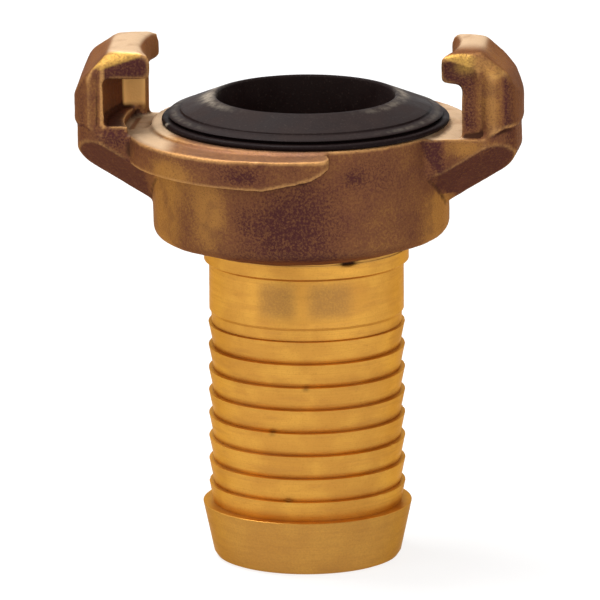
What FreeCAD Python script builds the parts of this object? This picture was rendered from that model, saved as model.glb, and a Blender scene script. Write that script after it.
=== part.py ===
import FreeCAD, Part
import math
import os

Vec = FreeCAD.Vector

# Quick connect hose coupling half: one brass forging with a turned hose tail, and its rubber sealing ring.
# Millimetres. Z is the axis of the waterway, and z = 0 is the end face of the hose tail.
# The claws stand on the X axis. Angles are counted counter-clockwise as seen from above.

# Driving dimensions
NOSE_GAUGE = 40.3
BORE_R = 10.4
SKIRT_R = 19.15
RIM_Z = 57.3
CLAW_TOP_Z = 67.7
CLAW_OUT_R = 29.0
CLAW_WIDTH = 14.4

# Hose tail
TAIL_FACE_R = 11.2
TAIL_CORNER = (11.7, 0.2)
TAIL_LEAD = (12.1, 0.8)
END_BARB_R = 13.48
END_BARB_Z = 7.2
TOOTH_R = 12.67
TOOTH_ROOT_R = 12.05
TOOTH_COUNT = 8
TOOTH_PITCH = 3.02
TOOTH_STEP = 0.1
TEETH_START_Z = 6.8
BARB_STEP = 0.5
TEETH_END_R = 12.25
NECK_START_R = 12.3
NECK_R = 12.55
NECK_START_Z = 32.8
COLLAR_R = 13.2
COLLAR_Z = 39.3
COLLAR_TOP_Z = 41.1
TURNED_EASE = 0.4

# Head
SHOULDER_Z = 43.0
SHOULDER_ROUND = 1.8
RAW_RIM_RISE = 0.35
FACED_R = 20.2
SEAT_R = 15.5
SEAT_Z = 51.0
GROOVE_R = 16.7
GROOVE_LOW_Z = 52.0
GROOVE_HIGH_Z = 54.5

# The forging was chucked a little askew, so its own axis leans from the turned one about the tail's end.
FORGING_LEAN_DEG = -0.8

# Cam ledges
LEDGE_R = 22.3
LEDGE_TOP_Z = 56.7
LEDGE_TOP_FALL = 0.5
LEDGE_SUNK = 1.2
LEDGE_UNDER_START_Z = 53.0
LEDGE_UNDER_END_Z = 52.7
LEDGE_START_DEG = 10.0
LEDGE_RAMP_DEG = 84.0
LEDGE_END_DEG = 108.0
LEDGE_RAMP_RISE = 1.9
LEDGE_TIP_DEG = 101.0
LEDGE_TIP_START_Z = 54.0
LEDGE_TIP_END_Z = 55.6
LEDGE_NOSE_ROUND = 1.4
LEDGE_SECTIONS = 11

# Claws
NOSE_R = NOSE_GAUGE / 2
HALF_WIDTH = CLAW_WIDTH / 2
LIP_ROUND = 1.3
LIP_EASE = 0.4
NOSE_CHAMFER = 0.5
THROAT_DIP = 0.1
THROAT_ROUND = 0.35
PARTING_Z = 57.8
PARTING_STEP = 0.35
LAND_PROUD = 0.25
CREASE_X = 24.4
CREASE_CLOSING = (24.4, 0.8)
CREASE_OPEN = (23.6, 1.6)
CROWN_CLOSING = (28.0, 65.5)
CROWN_OPEN = (27.6, 63.3)
CROWN_DROP = 3.4
CROWN_ROUND = 3.0
HOOK_FOOT_X = 27.2
HOOK_FOOT_Z = 56.3
HOOK_OUT_X = 29.1
END_BEVEL_INNER = 0.6
END_BEVEL_OUTER = 1.8
END_BEVEL_DROP = 0.7
COLUMN_ROUND = 3.05
COLUMN_Y = -4.3
OPEN_ROUND = 5.4
OPEN_ROUND_Y = 2.3
PANEL_X = 24.6
PANEL_DEPTH = 0.4
PANEL_CORNER_Z = 65.7
PANEL_INNER_Z = 67.6
PANEL_ROUND = 3.3
END_WALL = 2.4
POCKET_R_OPEN = 25.3
POCKET_R_MIDDLE = 24.8
POCKET_R_CLOSED = 23.9
POCKET_STEP_R = 22.4
POCKET_STEP_Z = 57.9
FLARE_ROUND = 4.0
FLARE_DIP = 0.15
LAND_SLOPE = 1.0
LAND_LIP = 0.8
ROOT_SHARE = 0.8
BASE_X = 12.0

# Grinding left the claws a little different, so each has its own lip underside, throat radius and mouth centre.
RIGHT_CLAW = (63.55, 22.7, Vec(0, 0, 0))
LEFT_CLAW = (63.85, 21.55, Vec(-0.5, -0.8, 0))

# Keel under each claw
KEEL_ROOT_Z = 47.15
KEEL_SLOPE = 0.605
KEEL_HALF_FLAT = 2.2
KEEL_FLANK_DEG = 43.0
KEEL_EDGE_ROUND = 1.2
KEEL_OUT_ROUND = 4.5

# Sealing ring
RING_HOLE_R = 11.5
RING_TOP_Z = 60.95
LIP_R = 17.7
LIP_Z = 58.5
LIP_GROOVE_R = 17.0
LIP_GROOVE_Z = 58.05
BEAD_R = 18.5
BEAD_HEIGHT = 0.75
BEAD_CHAMFER = 0.22
LIP_EDGE_WIDTH = 0.25
LIP_EDGE_TOP_DROP = 0.1
LIP_EDGE_DROP = 0.35

INNER_X = 14.0
OVERLAP = 1.0
FAR = 40.0


def flat(u, v):
    return Vec(u, v, 0)


def upright(u, v):
    return Vec(u, 0, v)


def across(u, v):
    return Vec(0, u, v)


def mirror(point):
    """The point's twin on the other side of the claw's middle plane."""
    return Vec(point.x, -point.y, point.z)


def rounded_wire(corners, place):
    """Closed wire through corners (u, v, radius), with a tangent arc at each corner that has a radius."""
    starts = []
    middles = []
    ends = []
    for k, (u, v, radius) in enumerate(corners):
        here = flat(u, v)
        last = flat(*corners[k - 1][:2]) - here
        after = flat(*corners[(k + 1) % len(corners)][:2]) - here
        last.normalize()
        after.normalize()
        half = last.getAngle(after) / 2
        trim = radius / math.tan(half)
        inward = (last + after).normalize() if radius else flat(0, 0)
        starts.append(here + last * trim)
        middles.append(here + inward * (radius / math.sin(half) - radius))
        ends.append(here + after * trim)
    edges = []
    for k, (u, v, radius) in enumerate(corners):
        a, b, c = [place(p.x, p.y) for p in (starts[k], middles[k], ends[k])]
        if radius:
            edges.append(Part.Arc(a, b, c).toShape())
        following = starts[(k + 1) % len(corners)]
        edges.append(Part.LineSegment(c, place(following.x, following.y)).toShape())
    return Part.Wire(edges)


def lathe(corners):
    """Solid of revolution about Z from (r, z, radius) corners."""
    face = Part.Face(rounded_wire(corners, upright))
    return face.revolve(Vec(0, 0, 0), Vec(0, 0, 1), 360)


def prism(wire, low_z, high_z):
    """Vertical prism over a wire drawn at z = 0."""
    face = Part.Face(wire)
    face.translate(Vec(0, 0, low_z))
    return face.extrude(Vec(0, 0, high_z - low_z))


def side_profile(corners):
    """Solid with the given (x, z, radius) outline, running along Y on both sides of the claw."""
    face = Part.Face(rounded_wire(corners, upright))
    face.translate(Vec(0, -FAR / 2, 0))
    return face.extrude(Vec(0, FAR, 0))


def arc_between(centre, start, end):
    """Arc about a centre from one point to another, the short way round."""
    middle = (start - centre) + (end - centre)
    middle.normalize()
    return Part.Arc(start, centre + middle * (start - centre).Length, end).toShape()


def half_space(a, b, c):
    """Thick slab whose one face is the plane through three points, on the side its normal points to."""
    along = (b - a).normalize()
    normal = along.cross(c - a).normalize()
    beside = normal.cross(along)
    corners = [a + along * (i * FAR) + beside * (j * FAR) for i, j in ((-1, -1), (1, -1), (1, 1), (-1, 1))]
    return Part.Face(Part.makePolygon(corners + corners[:1])).extrude(normal * FAR)


def turned_tail():
    """Hose tail, neck and collar as one solid of revolution, without the waterway."""
    corners = [(0, 0, 0), (TAIL_FACE_R, 0, 0), (*TAIL_CORNER, 0), (*TAIL_LEAD, 0), (END_BARB_R, END_BARB_Z, 0)]
    for k in range(TOOTH_COUNT):
        root_z = TEETH_START_Z + k * TOOTH_PITCH
        corners.append((TOOTH_ROOT_R, root_z + (TOOTH_STEP if k else BARB_STEP), 0))
        corners.append((TOOTH_R, root_z + TOOTH_PITCH, 0))
    corners += [
        (TEETH_END_R, TEETH_START_Z + TOOTH_COUNT * TOOTH_PITCH + TOOTH_STEP, 0),
        (NECK_START_R, NECK_START_Z - TURNED_EASE, 0),
        (NECK_R, NECK_START_Z, 0),
        (NECK_R, COLLAR_Z - TURNED_EASE, 0),
        (COLLAR_R, COLLAR_Z, 0),
        (COLLAR_R, COLLAR_TOP_Z, 0),
        (0, COLLAR_TOP_Z, 0),
    ]
    return lathe(corners)


def raw_skirt():
    """Plain forged head: conical underside, rounded shoulder, skirt and rim."""
    slope = (SHOULDER_Z - COLLAR_TOP_Z) / (SKIRT_R - COLLAR_R)
    return lathe([
        (0, COLLAR_TOP_Z - OVERLAP, 0),
        (COLLAR_R - OVERLAP / slope, COLLAR_TOP_Z - OVERLAP, 0),
        (SKIRT_R, SHOULDER_Z, SHOULDER_ROUND),
        (SKIRT_R, RIM_Z + RAW_RIM_RISE, 0),
        (0, RIM_Z + RAW_RIM_RISE, 0),
    ])


def waterway():
    """Bore, seat of the sealing ring, the undercut that holds it and the faced rim, in one cutter."""
    return lathe([
        (0, -OVERLAP, 0),
        (BORE_R, -OVERLAP, 0),
        (BORE_R, SEAT_Z, 0),
        (SEAT_R, SEAT_Z, 0),
        (SEAT_R, GROOVE_LOW_Z, 0),
        (GROOVE_R, GROOVE_LOW_Z, 0),
        (GROOVE_R, GROOVE_HIGH_Z, 0),
        (SEAT_R, GROOVE_HIGH_Z, 0),
        (SEAT_R, RIM_Z, 0),
        (FACED_R, RIM_Z, 0),
        (FACED_R, RIM_Z + OVERLAP, 0),
        (0, RIM_Z + OVERLAP, 0),
    ])


def ledge_section(angle_deg, under_z):
    """Radial section of a cam ledge, with its inner side sunk in the skirt."""
    angle = math.radians(angle_deg)
    outline = [
        (SKIRT_R - LEDGE_SUNK, under_z),
        (LEDGE_R, under_z),
        (LEDGE_R, LEDGE_TOP_Z),
        (SKIRT_R - LEDGE_SUNK, LEDGE_TOP_Z + LEDGE_TOP_FALL),
    ]
    points = [Vec(r * math.cos(angle), r * math.sin(angle), z) for r, z in outline]
    return Part.makePolygon(points + points[:1])


def ledge_rim(angle_deg, z):
    """Point of a cam ledge's outer face."""
    angle = math.radians(angle_deg)
    return Vec(LEDGE_R * math.cos(angle), LEDGE_R * math.sin(angle), z)


def cam_ledge():
    """Cam ledge that the mating claw turns under: a shallow thread with a lead-in ramp and a blunt tip."""
    sections = []
    for k in range(LEDGE_SECTIONS):
        share = k / (LEDGE_SECTIONS - 1)
        angle = LEDGE_START_DEG + share * (LEDGE_END_DEG - LEDGE_START_DEG)
        under = LEDGE_UNDER_START_Z + share * (LEDGE_UNDER_END_Z - LEDGE_UNDER_START_Z)
        sections.append(ledge_section(angle, under))
    ledge = Part.makeLoft(sections, True, False)
    tip = ledge_rim(LEDGE_END_DEG, 0)
    outer = [e for e in ledge.Edges if all((flat(v.X, v.Y) - tip).Length < 0.01 for v in e.Vertexes)]
    ledge = ledge.makeFillet(LEDGE_NOSE_ROUND, outer)
    ramps = (
        (LEDGE_RAMP_DEG, LEDGE_UNDER_END_Z, LEDGE_UNDER_END_Z + LEDGE_RAMP_RISE),
        (LEDGE_TIP_DEG, LEDGE_TIP_START_Z, LEDGE_TIP_END_Z),
    )
    for start_deg, start_z, end_z in ramps:
        middle = Vec(0, 0, start_z)
        ledge = ledge.cut(half_space(ledge_rim(start_deg, start_z), middle, ledge_rim(LEDGE_END_DEG, end_z)))
    return ledge


def claw_plan():
    """Plan outline of a claw: closing end at -Y with a round column, open end at +Y."""
    centre = Vec(0, 0, 0)
    reach = CLAW_OUT_R - COLUMN_ROUND
    column = Vec(math.sqrt(reach ** 2 - COLUMN_Y ** 2), COLUMN_Y, 0)
    column_end = column + Vec(column).normalize() * COLUMN_ROUND
    column_start = column + (Vec(PANEL_X, -HALF_WIDTH, 0) - column).normalize() * COLUMN_ROUND
    reach = CLAW_OUT_R - OPEN_ROUND
    corner = Vec(math.sqrt(reach ** 2 - OPEN_ROUND_Y ** 2), OPEN_ROUND_Y, 0)
    corner_start = corner + Vec(corner).normalize() * OPEN_ROUND
    corner_end = Vec(corner.x + math.sqrt(OPEN_ROUND ** 2 - (HALF_WIDTH - OPEN_ROUND_Y) ** 2), HALF_WIDTH, 0)
    inner = [Vec(INNER_X, HALF_WIDTH, 0), Vec(INNER_X, -HALF_WIDTH, 0)]
    edges = [
        Part.LineSegment(inner[0], inner[1]).toShape(),
        Part.LineSegment(inner[1], column_start).toShape(),
        arc_between(column, column_start, column_end),
        arc_between(centre, column_end, corner_start),
        arc_between(corner, corner_start, corner_end),
        Part.LineSegment(corner_end, inner[0]).toShape(),
    ]
    return Part.Wire(edges)


def base_plan():
    """Plan outline of the claw's base, which flares into the skirt on both sides."""
    half = HALF_WIDTH + LAND_PROUD
    out_r = CLAW_OUT_R - PARTING_STEP
    away = SKIRT_R + FLARE_ROUND - FLARE_DIP
    flare = Vec(math.sqrt(away ** 2 - (half + FLARE_ROUND) ** 2), half + FLARE_ROUND, 0)
    root = flare * ((SKIRT_R - FLARE_DIP) / away)
    side = Vec(flare.x, half, 0)
    reach = out_r - OPEN_ROUND
    corner = Vec(math.sqrt(reach ** 2 - OPEN_ROUND_Y ** 2), OPEN_ROUND_Y, 0)
    corner_start = corner + Vec(corner).normalize() * OPEN_ROUND
    corner_end = Vec(corner.x + math.sqrt(OPEN_ROUND ** 2 - (half - OPEN_ROUND_Y) ** 2), half, 0)
    edges = [
        Part.LineSegment(mirror(root) * ROOT_SHARE, mirror(root)).toShape(),
        arc_between(mirror(flare), mirror(root), mirror(side)),
        Part.LineSegment(mirror(side), mirror(corner_end)).toShape(),
        arc_between(mirror(corner), mirror(corner_end), mirror(corner_start)),
        arc_between(Vec(0, 0, 0), mirror(corner_start), corner_start),
        arc_between(corner, corner_start, corner_end),
        Part.LineSegment(corner_end, side).toShape(),
        arc_between(flare, side, root),
        Part.LineSegment(root, root * ROOT_SHARE).toShape(),
        Part.LineSegment(root * ROOT_SHARE, mirror(root) * ROOT_SHARE).toShape(),
    ]
    return Part.Wire(edges)


def keel_z(x):
    return KEEL_ROOT_Z + KEEL_SLOPE * (x - SKIRT_R)


def keel():
    """Slanting trough-shaped bar that bounds the claw's base from below, with its flanks drafted."""
    rise = math.tan(math.radians(KEEL_FLANK_DEG)) * FAR / 2
    low = keel_z(0)
    wide = KEEL_HALF_FLAT + FAR / 2
    section = rounded_wire([
        (-KEEL_HALF_FLAT, low, KEEL_EDGE_ROUND),
        (KEEL_HALF_FLAT, low, KEEL_EDGE_ROUND),
        (wide, low + rise, 0),
        (wide, low + FAR, 0),
        (-wide, low + FAR, 0),
        (-wide, low + rise, 0),
    ], across)
    return Part.Face(section).extrude(Vec(FAR, 0, FAR * KEEL_SLOPE))


def claw_base():
    """Lower die half of a claw: arm, keel and parting land up to the parting line."""
    out_x = CLAW_OUT_R - PARTING_STEP
    land_z = PARTING_Z + LAND_LIP
    outline = side_profile([
        (BASE_X, keel_z(BASE_X), 0),
        (out_x, keel_z(out_x), KEEL_OUT_ROUND),
        (out_x, land_z, 0),
        (out_x - LAND_SLOPE, land_z, 0),
        (CREASE_X, LEDGE_TOP_Z, 0),
        (BASE_X, LEDGE_TOP_Z, 0),
    ])
    return prism(base_plan(), 0, CLAW_TOP_Z).common(outline).common(keel())


def hook_profile(y, crease, crown):
    """Side outline of the hook at one end of the claw, with its crease (x, radius) and outer crown (x, z)."""
    crease_x, crease_round = crease
    crown_x, crown_z = crown
    wire = rounded_wire([
        (INNER_X, HOOK_FOOT_Z, 0),
        (CREASE_X, HOOK_FOOT_Z, 0),
        (HOOK_FOOT_X, PARTING_Z, 0),
        (HOOK_OUT_X, PARTING_Z, 0),
        (HOOK_OUT_X, crown_z - CROWN_DROP, CROWN_ROUND),
        (crown_x, crown_z, CROWN_ROUND),
        (crease_x, CLAW_TOP_Z, crease_round),
        (INNER_X, CLAW_TOP_Z, 0),
    ], upright)
    wire.translate(Vec(0, y, 0))
    return wire


def claw_hook(lip_under_z, throat_r, centre):
    """Upper die half of a claw: outer wall, lip, nose and closing wall, fuller at its closing end."""
    ends = [
        hook_profile(-HALF_WIDTH - OVERLAP, CREASE_CLOSING, CROWN_CLOSING),
        hook_profile(HALF_WIDTH + OVERLAP, CREASE_OPEN, CROWN_OPEN),
    ]
    hook = prism(claw_plan(), 0, CLAW_TOP_Z + OVERLAP).common(Part.makeLoft(ends, True, True))
    hook = hook.cut(pocket(lip_under_z)).cut(mouth(lip_under_z, throat_r, centre)).cut(end_panel())
    for end in (-1, 1):
        hook = hook.cut(top_chamfer(end))
    return hook


def end_panel():
    """Shallow panel sunk in the closing end, with a thick band left standing beside and above it."""
    face = Part.Face(rounded_wire([
        (INNER_X - OVERLAP, HOOK_FOOT_Z - OVERLAP, 0),
        (PANEL_X, HOOK_FOOT_Z - OVERLAP, 0),
        (PANEL_X, PANEL_CORNER_Z, PANEL_ROUND),
        (INNER_X - OVERLAP, PANEL_INNER_Z, 0),
    ], upright))
    face.translate(Vec(0, -HALF_WIDTH - OVERLAP, 0))
    return face.extrude(Vec(0, OVERLAP + PANEL_DEPTH, 0))


def on_circle(radius, y):
    return Vec(math.sqrt(radius ** 2 - y ** 2), y, 0)


def pocket(lip_under_z):
    """Recess of a claw that the mating cam ledge slides into, closed by the end wall."""
    end_y = END_WALL - HALF_WIDTH
    far_y = HALF_WIDTH + OVERLAP
    closed = on_circle(POCKET_R_CLOSED, end_y)
    middle = on_circle(POCKET_R_MIDDLE, OVERLAP)
    opened = on_circle(POCKET_R_OPEN, far_y)
    inner = [Vec(INNER_X - OVERLAP, far_y, 0), Vec(INNER_X - OVERLAP, end_y, 0)]
    wire = Part.Wire([
        Part.Arc(closed, middle, opened).toShape(),
        Part.LineSegment(opened, inner[0]).toShape(),
        Part.LineSegment(inner[0], inner[1]).toShape(),
        Part.LineSegment(inner[1], closed).toShape(),
    ])
    recess = prism(wire, POCKET_STEP_Z, lip_under_z)
    floor = prism(wire, LEDGE_TOP_Z, lip_under_z)
    floor = floor.common(Part.makeCylinder(POCKET_STEP_R, FAR, Vec(0, 0, LEDGE_TOP_Z)))
    return recess.fuse(floor)


def mouth(lip_under_z, throat_r, centre):
    """Space between the claws, which shapes the nose tip, its underside and the inner edge of the end wall."""
    space = lathe([
        (0, LEDGE_TOP_Z, 0),
        (throat_r, LEDGE_TOP_Z, 0),
        (throat_r, lip_under_z - THROAT_DIP, THROAT_ROUND),
        (NOSE_R + NOSE_CHAMFER, lip_under_z, 0),
        (NOSE_R, lip_under_z + NOSE_CHAMFER, 0),
        (NOSE_R, CLAW_TOP_Z - LIP_ROUND, 0),
        (NOSE_R + LIP_EASE, CLAW_TOP_Z - LIP_EASE, 0),
        (NOSE_R + LIP_ROUND, CLAW_TOP_Z, 0),
        (NOSE_R + LIP_ROUND, CLAW_TOP_Z + OVERLAP, 0),
        (0, CLAW_TOP_Z + OVERLAP, 0),
    ])
    space.translate(centre)
    return space


def top_chamfer(end):
    """Slab that bevels the top of the lip at one end (-1 closing, +1 open), wider towards the outside."""
    a = Vec(NOSE_R, end * (HALF_WIDTH - END_BEVEL_INNER), CLAW_TOP_Z)
    b = Vec(CREASE_X, end * (HALF_WIDTH - END_BEVEL_OUTER), CLAW_TOP_Z)
    c = Vec(NOSE_R, end * HALF_WIDTH, CLAW_TOP_Z - END_BEVEL_DROP)
    return half_space(b, a, c) if end < 0 else half_space(a, b, c)


def coupling_body():
    """The forging with its two nearly equal halves, leaned on the turned tail and cut by the waterway."""
    head = raw_skirt()
    for turn_deg, claw in ((0, RIGHT_CLAW), (180, LEFT_CLAW)):
        for feature in (cam_ledge(), claw_base(), claw_hook(*claw)):
            feature.rotate(Vec(0, 0, 0), Vec(0, 0, 1), turn_deg)
            head = head.fuse(feature)
    head.rotate(Vec(0, 0, 0), Vec(0, 1, 0), FORGING_LEAN_DEG)
    body = turned_tail().fuse(head.cut(below_collar()))
    return body.cut(waterway()).Solids[0]


def below_collar():
    """Everything under the collar's top face, where the raw head was turned away."""
    return Part.makeCylinder(FAR, FAR, Vec(0, 0, COLLAR_TOP_Z - FAR))


def sealing_ring():
    """Moulded ring: retaining flange in the undercut, bead on the rim, V groove and conical sealing lip."""
    return lathe([
        (RING_HOLE_R, SEAT_Z, 0),
        (SEAT_R, SEAT_Z, 0),
        (SEAT_R, GROOVE_LOW_Z, 0),
        (GROOVE_R, GROOVE_LOW_Z, 0),
        (GROOVE_R, GROOVE_HIGH_Z, 0),
        (SEAT_R, GROOVE_HIGH_Z, 0),
        (SEAT_R, RIM_Z, 0),
        (BEAD_R - BEAD_CHAMFER, RIM_Z, 0),
        (BEAD_R, RIM_Z + BEAD_CHAMFER, 0),
        (BEAD_R, RIM_Z + BEAD_HEIGHT - BEAD_CHAMFER, 0),
        (BEAD_R - BEAD_CHAMFER, RIM_Z + BEAD_HEIGHT, 0),
        (LIP_GROOVE_R, LIP_GROOVE_Z, 0),
        (LIP_R, LIP_Z, 0),
        (RING_HOLE_R + LIP_EDGE_WIDTH, RING_TOP_Z - LIP_EDGE_TOP_DROP, 0),
        (RING_HOLE_R, RING_TOP_Z - LIP_EDGE_DROP, 0),
    ])


os.makedirs("parts", exist_ok=True)
for name, shape in (("coupling_body", coupling_body()), ("sealing_ring", sealing_ring())):
    shape.exportStep(f"parts/{name}.step")
    print(name, shape.isValid(), len(shape.Solids), round(shape.Volume, 1), shape.BoundBox)
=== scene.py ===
import math

import bmesh
import bpy
import numpy as np
from mathutils import Matrix, Vector, noise


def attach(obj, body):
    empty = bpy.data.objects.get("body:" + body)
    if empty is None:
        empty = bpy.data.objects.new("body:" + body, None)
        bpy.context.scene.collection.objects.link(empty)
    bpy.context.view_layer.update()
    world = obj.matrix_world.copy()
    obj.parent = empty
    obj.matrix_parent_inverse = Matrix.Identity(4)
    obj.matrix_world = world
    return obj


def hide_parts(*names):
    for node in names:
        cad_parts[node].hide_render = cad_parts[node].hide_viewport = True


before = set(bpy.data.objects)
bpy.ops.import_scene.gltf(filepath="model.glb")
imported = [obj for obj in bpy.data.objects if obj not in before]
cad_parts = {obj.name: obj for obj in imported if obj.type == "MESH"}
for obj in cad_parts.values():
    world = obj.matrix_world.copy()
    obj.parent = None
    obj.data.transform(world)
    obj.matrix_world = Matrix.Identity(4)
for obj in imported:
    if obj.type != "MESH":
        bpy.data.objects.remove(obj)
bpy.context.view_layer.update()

MM = 0.001

# View, in metres: the coupling's turned axis is Z, and its claws stand on X
VIEW_AZIMUTH_DEG = 7.5
VIEW_ELEVATION_DEG = 13.3
VIEW_ROLL_DEG = 0.3
VIEW_DISTANCE = 1.6
VIEW_CLIP_END = 20.0
AIM_HEIGHT = 0.034
AIM_PIXEL = (306.6, 297.1)
PIXELS_PER_METRE = 7760.0
FRAME_PIXELS = 600.0
SENSOR_MM = 36.0

# Light and stage, in metres
WORLD_LIGHT = 0.38
FLOOR_HALF = 3.0
FLOOR_TONE = 0.3
FLOOR_GLOW = 0.8
CARD_X = (-0.13, 0.13)
CARD_Y = (-0.60, -0.17)
CARD_Z = 0.003
CARD_COLOUR = (0.02, 0.018, 0.016, 1)

# Lamps: name, place, side and watts
LAMPS = (
    ("overhead", (-0.22, 0.08, 0.75), 0.40, 6.5),
    ("left_front", (-0.70, -0.60, 0.35), 0.5, 1.8),
    ("right_front", (0.75, -0.55, 0.30), 0.5, 1.3),
    ("front", (0.20, -0.95, 0.30), 0.35, 1.7),
)

# Colours of the raw forging, from its oxide to bare metal, some of them for painted light and shade
OXIDE_PURPLE = (0.062, 0.019, 0.020)
OXIDE_BROWN = (0.165, 0.064, 0.030)
OXIDE_GOLD = (0.36, 0.170, 0.044)
OXIDE_PATCH = (0.100, 0.033, 0.027)
OXIDE_GRAIN = (0.30, 0.135, 0.055)
OXIDE_SPECK = (0.045, 0.016, 0.012)
OXIDE_CORNER = (0.030, 0.011, 0.008)
# Worn edges, also painted as edge highlights
WORN_AND_HIGHLIT_EDGE = (0.54, 0.290, 0.105)
# Colour of the trimmed bevels and of the painted glint below the closed end's nose
TRIMMED_BEVEL_AND_GLINT = (0.46, 0.265, 0.062)
# Rubbed end wall of the pockets, painted paler than brass to light their shade
RUBBED_AND_LIT_STOP = (1.0, 0.56, 0.19)
# Faced and ground tops, painted paler as the overhead light shows them
FACED_AND_LIT_TOP = (0.56, 0.39, 0.24)
# Colour of the painted light on the rim left of the ring
PAINTED_RIM_LIGHT = (0.95, 0.70, 0.45)
FORGED_SHEEN = (0.85, 0.52, 0.30, 1)

# Colours of the turned brass
TURNED_DEEP = (0.55, 0.262, 0.048)
TURNED_LIGHT = (0.64, 0.325, 0.058)
TURNED_SMEAR = (0.44, 0.210, 0.055)
TURNED_RING = (0.46, 0.225, 0.038)
TURNED_GRAIN = (0.36, 0.165, 0.030)
# Darker line at each tooth's root and on the core in the head
TOOTH_ROOT_LINE = (0.27, 0.155, 0.065)
# Duller end barb, and the painted dark reflections on the neck
DULL_AND_REFLECTED_BRASS = (0.34, 0.168, 0.046)
FLAW_DARK = (0.035, 0.014, 0.009)
TURNED_SHEEN = (0.76, 0.57, 0.40, 1)

# Colours of the rubber
RUBBER_BLACK = (0.0085, 0.0040, 0.0040)
# Dust, also painting the up-facing cone as lit paler than the bead
RUBBER_DUST_AND_LIGHT = (0.024, 0.0150, 0.0135)
RUBBER_GRAIN = (0.060, 0.042, 0.036)
# Pale scuffs, also used for painted highlights
RUBBER_SCUFF_AND_HIGHLIGHT = (0.32, 0.27, 0.21)

# Turned surfaces, in millimetres from the axis and above the tail's end face
BORE_R = 10.4
BARB_R = 13.48
BARB_TOP_Z = 7.22
NECK_R = 12.55
NECK_LOW_Z = 32.8
NECK_STEP = 0.6
NECK_ROWS = 10
COLLAR_R = 13.2
COLLAR_TOP_Z = 41.1
CORE_NECK_R = 13.1
CORE_R = 17.2
CORE_CONE_Z = (44.0, 46.0)
CORE_BELOW_RIM = 0.02
RIM_Z = 57.3
SEAT_R = 15.5
SEAT_Z = 51.0
UNDERCUT_R = 16.7
UNDERCUT_Z = (52.0, 54.5)
CORE_STEPS_MM = 3.0
TAIL_SEGMENTS = 288
SHARP_ANGLE_DEG = 24

# Saw teeth of the tail, in millimetres, and the small dents in their edges
TOOTH_COUNT = 8
TOOTH_PITCH = 3.02
TOOTH_R = 12.67
TOOTH_ROOT_R = 12.05
TOOTH_START_Z = 6.8
TOOTH_STEP = 0.1
TOOTH_SINK = 0.35
CORE_BELOW_ROOT = 0.05
RESIDUE_HEIGHT = 0.09
TOOTH_STEPS_MM = 0.6
DENT_DEPTH = 0.1
DENT_THRESHOLD = 0.6
DENT_GAIN = 10.0
DENT_SEED = 3.0
DENTS_PER_METRE = 900.0

# Marks on the tail: painted dark reflections on the neck, the lap beside the collar and the nicks in tooth
# edges
NECK_PAINTED_REFLECTIONS = (((-2.2, -12.3, 36.3), (2.5, 3, 2.4)), ((4.5, -11.7, 36.3), (2.8, 3, 2.4)))
REFLECTION_SQUARENESS = 5
REFLECTION_DARKNESS = 0.95
BARB_DULLNESS = 0.55
LAP_PLACE = (6.95, -11.2, 41.2)
LAP_SIZE = (1.15, 1.3, 0.3)
LAP_DEPTH = 0.35
LAP_DARKNESS = 1.6
NICK_PLACES = ((1.5, -12.6, 24.9), (-2.9, -12.3, 18.9), (-0.9, -12.6, 9.9))
NICK_SIZE = (0.40, 1.0, 0.12)
NICK_DEPTH = 0.15
NICK_DARKNESS = 0.7

# Forged skin, in millimetres: remeshing, softening, broad waves and fine pits
FORGING_LEAN_DEG = -0.8
SKIN_VOXEL = 0.295
SKIN_SMOOTHING = 3
CUTTER_R = 45.0
CUTTER_Z = (-5, 62)
CUTTER_SEGMENTS = 192
NECK_OVERLAP = 0.1
CORE_OVERLAP = 0.2
SOFT_Z = (61.5, 63.5)
CLAW_SMOOTHING = 10
BEND_SMOOTHING = 3
WAVE_DEPTH = 0.11
WAVE_SIZE = 4.2
PIT_DEPTH = 0.05
PIT_SIZE = 0.9
PIT_SHIFT = (7, 3, 5)
FACED_R = 20.3

# Claws, in millimetres, in the forging's own frame with both claws turned onto +X
CLAW_FROM_X = 18.5
NOSE_R = 20.15
CREASE_X = 24.4
HALF_WIDTH = 7.2
CLAW_FROM_Z = (57.0, 58.5)
CLAW_TOP_Z = 67.7
LIP_UNDER_Z = 63.8
POCKET_FLOOR_Z = 57.9
POCKET_OUT_X = 25.8
STOP_Y = -4.8
STOP_OUT_X = 24.0
BEVEL_INSET = (0.6, 1.8)
BEVEL_DROP = 0.7
END_FACING = (0.5, 0.9)

# Relief of the claws' end faces: share of its depth, middle and half width of each ridge or valley along X
RELIEF_DEPTH = 0.18
OPEN_END_RELIEF = ((1.0, 25.3, 0.5), (-0.8, 24.45, 0.3), (-0.8, 26.4, 0.4))
CLOSED_END_RELIEF = ((0.35, 24.6, 0.35), (-0.6, 24.0, 0.35), (-0.9, 26.0, 0.9))

# Tint of the oxide on the claws, with painted light and shade on their columns, panels, pockets and
# undersides: where each area begins or ends, and its spots as centre and half size
COLUMN_X = 25.8
COLUMN_HALF = 1.3
PANEL_END_X = (23.2, 23.9)
LIP_END_X = (24.0, 24.8)
LIP_FROM_Z = (62.5, 63.5)
CLOSED_STRIP_X = (27.0, 27.6)
OPEN_STRIP_X = (26.8, 27.4)
OUTSIDE_X = (26.5, 27.2)
FAR_OUT_X = (18.8, 19.8)
GOLDEN_LAND = ((22.3, -6.6, 55.4), (3.0, 1.6, 1.3))
DARK_BLOCK = ((23.2, 7.2, 56.6), (2.8, 1.5, 1.6))
# Painted glint on the closed end's face below the nose: centre and half size
NOSE_PAINTED_GLINT = ((22.4, -7.2, 65.9), (1.2, 1.2, 0.8))

# Painted light on the faced rim left of the ring, where the left claw's nose shades it from the overhead
# lamp: centre and half size, in the row's frame
RIM_PAINTED_LIGHT_SPOT = ((-20.0, -2.0, 57.3), (2.4, 5.5, 0.9))

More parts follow.
